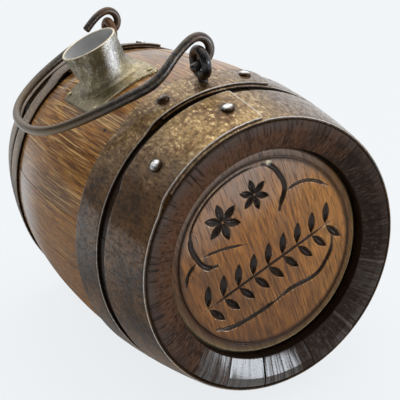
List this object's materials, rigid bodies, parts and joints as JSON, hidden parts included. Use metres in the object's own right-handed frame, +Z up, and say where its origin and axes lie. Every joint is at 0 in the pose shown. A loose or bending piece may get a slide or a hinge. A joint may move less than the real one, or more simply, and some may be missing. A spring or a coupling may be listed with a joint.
{
  "type": "wooden keg",
  "caption": "Small hand-coopered wooden keg lying on its bilge, with lapped and riveted iron hoops, recessed heads, a sheet-metal filling spout on a saddle plate and a hinged wire bail.",
  "frame": {"origin": "middle of the worn flat under the bilge, on the ground, below the middle of the keg's axis", "axes": "+Y along the keg's axis towards the plain rear head, so the carved front head faces -Y; +Z up, to the bail's two eyes; +X to the right of someone who faces the front head. The folded bail lies on the -X side"},
  "size_m": [0.1146, 0.158, 0.1295],
  "materials": {
    "stave_wood": "dark oak under old glossy varnish, darker end grain",
    "head_wood": "orange-brown oak, carved, satin varnish",
    "hoop_iron": "iron strip under yellowed varnish, brown patina, bright worn edges",
    "rivet_iron": "worn bright domes",
    "wrought_iron": "black iron with brown rust",
    "bail_iron": "blue-black drawn iron wire, polished by handling",
    "spout_tin": "dull tinned sheet with green-brown tarnish",
    "nail_iron": "dark iron"
  },
  "bodies": {
    "keg": {"stave_01": "stave_wood", "stave_02": "stave_wood", "stave_03": "stave_wood", "stave_04": "stave_wood", "stave_05": "stave_wood", "stave_06": "stave_wood", "stave_07": "stave_wood", "stave_08": "stave_wood", "stave_09": "stave_wood", "stave_10": "stave_wood", "stave_11": "stave_wood", "stave_12": "stave_wood", "stave_13": "stave_wood", "stave_14": "stave_wood", "stave_15": "stave_wood", "stave_16": "stave_wood", "stave_17": "stave_wood", "stave_18": "stave_wood", "front_head": "head_wood", "rear_head": "head_wood", "front_chime_hoop": "hoop_iron", "front_quarter_hoop": "hoop_iron", "rear_quarter_hoop": "hoop_iron", "rear_chime_hoop": "hoop_iron", "hoop_rivets": "rivet_iron", "front_eye": "wrought_iron", "rear_eye": "wrought_iron", "spout": "spout_tin", "saddle_plate": "spout_tin", "plate_nails": "nail_iron"},
    "bail": {"bail": "bail_iron"}
  },
  "joints": [
    {"name": "bail_swing", "type": "hinge", "parent": "keg", "child": "bail", "pos_m": [0.0014, 0, 0.12343], "axis": [0.031, 0.9995, -0.0006], "range_deg": [0, 216]}
  ]
}
